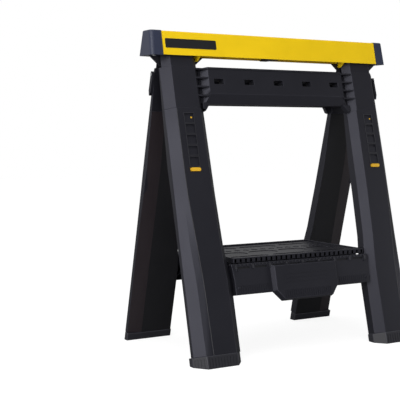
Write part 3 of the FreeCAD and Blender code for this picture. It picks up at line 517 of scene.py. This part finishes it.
# ---------------------------------------------------------------- fittings under the beam
# The hinge brackets are pressed from the same coated steel as the beam; the gussets between the
# legs, the clip and the legs themselves are moulded in black, finely textured polypropylene.

black = moulded("black_moulding", (0.0105, 0.0105, 0.0140), (0.030, 0.030, 0.038), rough=0.46,
                grain_depth=0.07 * MM, sheen=0.42)
black.node_tree.nodes["Principled BSDF"].inputs["Specular Tint"].default_value = (0.84, 0.84, 1.0, 1)

settle(rounded_copy("beam_clip", 0.5 * MM), "clip_under_beam", black, "beam", "black_plastic", "beam_clip")
for word in ("left", "right"):
    settle(rounded_copy(f"hinge_bracket_{word}", 0.5 * MM), f"bracket_{word}", yellow_coat, "beam",
           "yellow_steel", f"hinge_bracket_{word}")
    settle(rounded_copy(f"gusset_{word}", 0.8 * MM), f"gusset_plate_{word}", black, "beam", "black_plastic",
           f"gusset_{word}")
settle(rounded_copy("hinge_pins", 0.4 * MM, 50), "pins_of_hinges", steel, "beam", "zinc_steel", "hinge_pins")

# ---------------------------------------------------------------- telescoping inner legs
# Inside each leg slides a narrower black moulding: a trapezoid tube with an eye for the hinge pin on
# top and a notched strip at its foot, in which the height button's cup locks.

ENDS = ("front", "rear")
SIDES = (("left", -1), ("right", 1))


def coat(node, material):
    """Give a CAD piece whose shape is already right its finish."""
    mesh = frame["nodes"][node].data
    mesh.materials.clear()
    mesh.materials.append(material)


for end in ENDS:
    for word, side in SIDES:
        node = f"inner_leg_{end}_{word}"
        settle(rounded_copy(node), f"sliding_leg_{end}_{word}", black, f"{end}_inner_legs",
               "black_plastic", node)

# ---------------------------------------------------------------- upper frames
# Two leg housings and the crossbar between them are one black moulding. Ribs bridge the corners, the
# crossbar has five slots for straps and is ribbed and open behind.


def leg_axes(end):
    """Placement of one leaned frame: x along the beam, y inwards and z up the leg, from its hinge."""
    joints = {joint["name"]: joint for joint in frame["joints"]}
    up = -Vector(joints[f"{end}_height"]["axis"])
    across = Vector(joints[f"{end}_fold"]["axis"])
    return basis(Vector(joints[f"{end}_fold"]["pos_m"]), across, up.cross(across), up)


for end in ENDS:
    node = f"{end}_upper_frame"
    settle(rounded_copy(node), f"{end}_housing", black, f"{end}_frame", "black_plastic", node, crease=8)

# ---------------------------------------------------------------- lower legs
# Each lower leg is a hollow black moulding with a wide bevel on its outer front corner. Its large
# inward-facing faces are darker in the middle as painted shade, with a lighter, warmer strip towards
# the outer side as painted light. A fine bead runs down beside the bevel, and raised frames stand
# around the windows of the height scale; both are paler black as painted highlight.

# A darker, duller and rougher copy of the black moulding: painted shade on the hollow inner faces of the legs
# and in the stretcher slots.
shaded_black = moulded("shaded_black_moulding", (0.0105, 0.0105, 0.0125), (0.020, 0.020, 0.024), 0.55,
                       0.07 * MM, sheen=0.28)
# A paler copy of the black moulding: painted highlight on the beads, window frames, stretcher tabs and tray
# ribs.
highlight_black = moulded("painted_highlight_black_moulding", (0.024, 0.024, 0.030), (0.05, 0.05, 0.06), 0.40, 0.05 * MM)
# A lighter, warmer copy of the black moulding: painted light on the lit strip of the legs' inner faces.
lit_strip_black = moulded("painted_light_warm_black_moulding", (0.020, 0.0145, 0.0175), (0.035, 0.028, 0.033), 0.44,
                     0.07 * MM, sheen=0.45)


def slab(points, near, far):
    """A flat prism over an outline in x and z, between two levels of y."""
    shape = bmesh.new()
    front = [shape.verts.new((x, near, z)) for x, z in points]
    back = [shape.verts.new((x, far, z)) for x, z in points]
    shape.faces.new(front)
    shape.faces.new(back)
    for k in range(len(points)):
        following = (k + 1) % len(points)
        shape.faces.new((front[k], back[k], back[following], front[following]))
    bmesh.ops.recalc_face_normals(shape, faces=shape.faces)
    return shape


def oblong(width, height):
    """Corners of a centred oblong."""
    return [(-width / 2, -height / 2), (width / 2, -height / 2), (width / 2, height / 2),
            (-width / 2, height / 2)]


def open_frame(width, height, band, proud, sunk):
    """A raised rectangular border, standing out of the face y = 0 towards -y."""
    shape = bmesh.new()
    rims = []
    for grow, level in ((0, sunk), (0, -proud), (band, -proud), (band + 0.3 * MM, sunk)):
        corners = oblong(width + 2 * grow, height + 2 * grow)
        rims.append([shape.verts.new((x, level, z)) for x, z in corners])
    for one, other in zip(rims, rims[1:] + rims[:1]):
        for k in range(4):
            following = (k + 1) % 4
            shape.faces.new((one[k], one[following], other[following], other[k]))
    bmesh.ops.recalc_face_normals(shape, faces=shape.faces)
    return shape


def bead_tree():
    """Nodes that draw a round bead along a path."""
    tree = bpy.data.node_groups.new("bead_along_path", "GeometryNodeTree")
    tree.interface.new_socket("Geometry", in_out="INPUT", socket_type="NodeSocketGeometry")
    for label, kind in (("Path", "NodeSocketObject"), ("Bead radius", "NodeSocketFloat"),
                        ("Finish", "NodeSocketMaterial")):
        tree.interface.new_socket(label, in_out="INPUT", socket_type=kind)
    tree.interface.new_socket("Bead", in_out="OUTPUT", socket_type="NodeSocketGeometry")
    entry = tree.nodes.new("NodeGroupInput")
    leave = tree.nodes.new("NodeGroupOutput")
    path = tree.nodes.new("GeometryNodeObjectInfo")
    line = tree.nodes.new("GeometryNodeMeshToCurve")
    ring = tree.nodes.new("GeometryNodeCurvePrimitiveCircle")
    ring.inputs["Resolution"].default_value = 8
    sweep = tree.nodes.new("GeometryNodeCurveToMesh")
    sweep.inputs["Fill Caps"].default_value = True
    realize = tree.nodes.new("GeometryNodeRealizeInstances")
    finish = tree.nodes.new("GeometryNodeSetMaterial")
    link = tree.links.new
    link(entry.outputs["Path"], path.inputs["Object"])
    link(path.outputs["Geometry"], line.inputs["Mesh"])
    link(entry.outputs["Bead radius"], ring.inputs["Radius"])
    link(line.outputs["Curve"], sweep.inputs["Curve"])
    link(ring.outputs["Curve"], sweep.inputs["Profile Curve"])
    link(sweep.outputs["Mesh"], realize.inputs["Geometry"])
    link(realize.outputs["Geometry"], finish.inputs["Geometry"])
    link(entry.outputs["Finish"], finish.inputs["Material"])
    link(finish.outputs["Geometry"], leave.inputs["Bead"])
    return tree


BEAD = bead_tree()


def bead(points, radius, finish):
    """A round bead through a list of points."""
    mesh = bpy.data.meshes.new("path")
    mesh.from_pydata([tuple(point) for point in points], [(k, k + 1) for k in range(len(points) - 1)], [])
    path = bpy.data.objects.new("path", mesh)
    shape = bake(BEAD, {"Path": path, "Bead radius": radius, "Finish": finish})
    bpy.data.objects.remove(path)
    bpy.data.meshes.remove(mesh)
    bmesh.ops.recalc_face_normals(shape, faces=shape.faces)
    return shape


window_pitch, windows = 25.2 * MM, 5
window_wide, window_tall, window_rim, rim_proud = 24 * MM, 21 * MM, 1.5 * MM, 1.0 * MM
bead_y, bead_radius = -1.95 * MM, 0.85 * MM
leg_front, window_offset = -2.0 * MM, 6.5 * MM
back_strip_starts, least_back_area = 274 * MM, 400 * MM * MM
for end in ENDS:
    place = leg_axes(end)
    upright = place.inverted()
    for word, side in SIDES:
        node = f"lower_leg_{end}_{word}"
        leg = rounded_copy(node)
        outer = side if end == "front" else -side
        # Large inward-facing faces get painted shade nearer the middle and painted light on the strip towards
        # the outer side.
        for face in leg.faces:
            normal = upright.to_3x3() @ face.normal
            middle = upright @ face.calc_center_median()
            if normal.y > 0.93 and face.calc_area() > least_back_area:
                face.material_index = 1 if abs(middle.x) < back_strip_starts else 2
        settle(leg, f"outer_leg_{end}_{word}", (black, shaded_black, lit_strip_black), f"{end}_frame",
               "black_plastic", node, crease=6)

        low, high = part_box(f"height_button_{end}_{word}")
        button_spot = upright @ ((low + high) / 2)
        first = (button_spot.x, leg_front, button_spot.z + window_pitch - window_offset)
        # The frames are in the paler black: painted highlight on their raised rims.
        rims = row(open_frame(window_wide, window_tall, window_rim, rim_proud, 0.4 * MM), windows, first,
                   (0, 0, window_pitch), highlight_black, place)
        settle(rims, f"window_frames_{end}_{word}", highlight_black, f"{end}_frame", "black_plastic")

        # The bead is in the paler black: painted highlight along the bevel.
        stations = ((-141, 290), (-272, 289.5), (-340, 288.5), (-454, 281), (-536, 276), (-693, 273))
        line = [place @ Vector((outer * (across - 1) * MM, bead_y, level * MM)) for level, across in stations]
        settle(bead(line, bead_radius, highlight_black), f"bevel_bead_{end}_{word}", highlight_black, f"{end}_frame",
               "black_plastic")

# ---------------------------------------------------------------- feet
# A block of firm black rubber-like plastic caps each leg and is cut level with the floor. Upright
# grooves run round its sides for grip, coarser on the bevelled corner.

rubber = moulded("foot_compound", (0.018, 0.018, 0.024), (0.06, 0.06, 0.075), 0.5, 0.06 * MM, sheen=0.45)


def grooves(shape, direction, up, wide, deep, pitch, stop, finish):
    """Cutters for upright grooves across a flat side, ending a little below its top edge."""
    face = flank(shape, direction)
    outward = face.normal.copy()
    upward = (Vector(up) - outward * outward.dot(Vector(up))).normalized()
    across = outward.cross(upward)
    middle = face.calc_center_median()
    reach_x = [(vertex.co - middle).dot(across) for vertex in face.verts]
    reach_z = [(vertex.co - middle).dot(upward) for vertex in face.verts]
    count = max(int((max(reach_x) - min(reach_x) - 2 * wide) / pitch) + 1, 1)
    top, bottom = max(reach_z) - stop, min(reach_z) - 12 * MM
    cutter = slab(oblong(wide, top - bottom), -deep, 3 * MM)
    start = (max(reach_x) + min(reach_x)) / 2 - (count - 1) * pitch / 2
    place = basis(middle, across, outward, upward)
    return row(cutter, count, (start, 0, (top + bottom) / 2), (pitch, 0, 0), finish, place)


fine_groove, coarse_groove = 2.5 * MM, 3.0 * MM
groove_deep, groove_pitch, groove_stop = 1.0 * MM, 7.5 * MM, 4 * MM
for end in ENDS:
    place = leg_axes(end)
    turn = place.to_3x3()
    up = turn @ Vector((0, 0, 1))
    for word, side in SIDES:
        node = f"foot_{end}_{word}"
        outer = side if end == "front" else -side
        block = rounded_copy(node, 1.2 * MM)
        bevel_side = turn @ Vector((outer * 0.79, -0.6, 0))
        sides = ((turn @ Vector((0, -1, 0)), fine_groove), (bevel_side, coarse_groove),
                 (turn @ Vector((outer, 0, 0)), fine_groove))
        cutters = [grooves(block, direction, up, wide, groove_deep, groove_pitch, groove_stop, rubber)
                   for direction, wide in sides]
        settle(cut(block, together(*cutters), node), f"ribbed_foot_{end}_{word}", rubber, f"{end}_frame",
               "foot_rubber", node)

# ---------------------------------------------------------------- height buttons and marks
# A pill-shaped amber button stands out of each leg below its windows. Behind it sit a zinc-plated
# locking cup and two leaf springs, and an amber dot beside the top window marks the scale.

amber = moulded("amber_moulding", (0.78, 0.44, 0.02), (0.88, 0.58, 0.1), 0.4, 0.04 * MM)
for end in ENDS:
    for word, side in SIDES:
        node = f"height_button_{end}_{word}"
        settle(rounded_copy(node, 0.5 * MM), f"button_{end}_{word}", amber, f"button_{end}_{word}",
               "amber_plastic", node)
        coat(f"lock_cup_{end}_{word}", steel)
        coat(f"button_spring_{end}_{word}", steel)
    coat(f"{end}_height_marks", amber)

# ---------------------------------------------------------------- bottom stretchers
# A moulded panel ties the two legs of a frame together at tray level, with a lower block in its
# middle. Short ribs stiffen its edges, slots and tabs run along its top, and two screws hold each end.
# Dark pads in the slot bottoms are painted shade, and the tabs and ticks are paler black as painted
# highlight.

slot_count, slot_first, slot_step = 8, (-164 * MM, 0, -509.5 * MM), (46.9 * MM, 0, 0)
tab_first, tab_step = (-186 * MM, 0, -508 * MM), (46.5 * MM, 0, 0)
tick_first, tick_step = (-184 * MM, 0, -503.6 * MM), (10.22 * MM, 0, 0)
line_first, line_step = (0, 0, -552 * MM), (0, 0, 9.5 * MM)
rib_wide, rib_step = 2.4 * MM, (6.1 * MM, 0, 0)
rib_rows = ((18 * MM, 1.2 * MM, 14, (-182 * MM, 0, -558.5 * MM)),
            (18 * MM, 1.2 * MM, 14, (102.7 * MM, 0, -558.5 * MM)),
            (17 * MM, -8.8 * MM, 22, (-64 * MM, 0, -578 * MM)))
for end in ENDS:
    place = leg_axes(end)
    node = f"{end}_apron"
    panel = rounded_copy(node, 1.0 * MM)
    slots = row(slab(oblong(31 * MM, 4.2 * MM), -3 * MM, 4.2 * MM), slot_count, slot_first, slot_step,
                black, place)
    lines = row(slab(oblong(118 * MM, 0.9 * MM), -9 * MM, -7.4 * MM), 3, line_first, line_step, black, place)
    settle(cut(panel, together(slots, lines), node), f"{end}_stretcher", black, f"{end}_frame",
           "black_plastic", node)
    ribs = [row(slab(oblong(rib_wide, tall), near, near + 1.2 * MM), count, first, rib_step, black, place)
            for tall, near, count, first in rib_rows]
    settle(together(*ribs), f"{end}_stretcher_ribs", black, f"{end}_frame", "black_plastic")
    # Dark pads at the bottoms of the slots: painted shade.
    shade = row(slab(oblong(30.4 * MM, 3.8 * MM), 3.7 * MM, 4.4 * MM), slot_count, slot_first, slot_step,
                shaded_black, place)
    settle(shade, f"{end}_slot_floors", shaded_black, f"{end}_frame", "black_plastic")
    # Tabs and ticks in the paler black: painted highlight.
    tabs = row(slab(oblong(5 * MM, 9 * MM), -0.4 * MM, 2.4 * MM), 9, tab_first, tab_step, highlight_black, place)
    ticks = row(slab(oblong(2.2 * MM, 3.4 * MM), 0.4 * MM, 2.4 * MM), 37, tick_first, tick_step,
                highlight_black, place)
    settle(together(tabs, ticks), f"{end}_slot_tabs", highlight_black, f"{end}_frame", "black_plastic")
    across = place.to_3x3() @ Vector((1, 0, 0))
    outward = place.to_3x3() @ Vector((0, -1, 0))
    settle_screws(f"{end}_apron_screws", 4 * MM, 1.6 * MM, black, f"{end}_frame", "black_plastic",
                  across, outward)

# ---------------------------------------------------------------- tool tray
# The tray is one black moulding hinged at the back. Its rim is raised, its top has shallow rounded
# recesses for tools and fixings, and its front edge is closely ribbed.


def rounded_bar(length, width, steps=8):
    """Outline of a bar with half-round ends."""
    points = []
    for end_sign, start in ((1, -90), (-1, 90)):
        for k in range(steps + 1):
            angle = math.radians(start + 180 * k / steps)
            points.append((end_sign * (length - width) / 2 + math.cos(angle) * width / 2,
                           math.sin(angle) * width / 2))
    return points


low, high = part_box("tray")
top_level = high.z - 4 * MM
flat_down = Matrix.Translation((0, 0, top_level)) @ Matrix.Rotation(math.radians(-90), 4, "X")
hollow_deep = 1.3 * MM
hollow_rows = ((104 * MM, 26 * MM, 3, -118 * MM, -98 * MM, 118 * MM),
               (76 * MM, 44 * MM, 4, -129 * MM, -40 * MM, 86 * MM),
               (16 * MM, 15.9 * MM, 14, -162.5 * MM, 6 * MM, 25 * MM),
               (104 * MM, 30 * MM, 3, -118 * MM, 48 * MM, 118 * MM))
hollows = [row(slab(rounded_bar(length, width), -1 * MM, hollow_deep), count, (first, 0, level),
               (pitch, 0, 0), black, flat_down)
           for length, width, count, first, level, pitch in hollow_rows]
settle(cut(rounded_copy("tray", 0.8 * MM), together(*hollows), "tray"), "tool_tray", black, "tray",
       "black_plastic", "tray")
# The front edge ribs are in the paler black: painted highlight.
front_ribs = row(slab(oblong(4.6 * MM, 8.6 * MM), -0.7 * MM, 0.6 * MM), 27,
                 (-182 * MM, low.y + 0.7 * MM, high.z - 6.6 * MM), (14 * MM, 0, 0), highlight_black)
settle(front_ribs, "tray_edge_ribs", highlight_black, "tray", "black_plastic")
coat("tray_hinge_ears", black)
coat("tray_hinge_pins", steel)

# ---------------------------------------------------------------- carry latches
# A small black hook on one outer side of each frame swings over a zinc-plated stud and holds the
# folded frames together.

for end in ENDS:
    coat(f"{end}_latch", black)
    coat(f"{end}_latch_stud", steel)
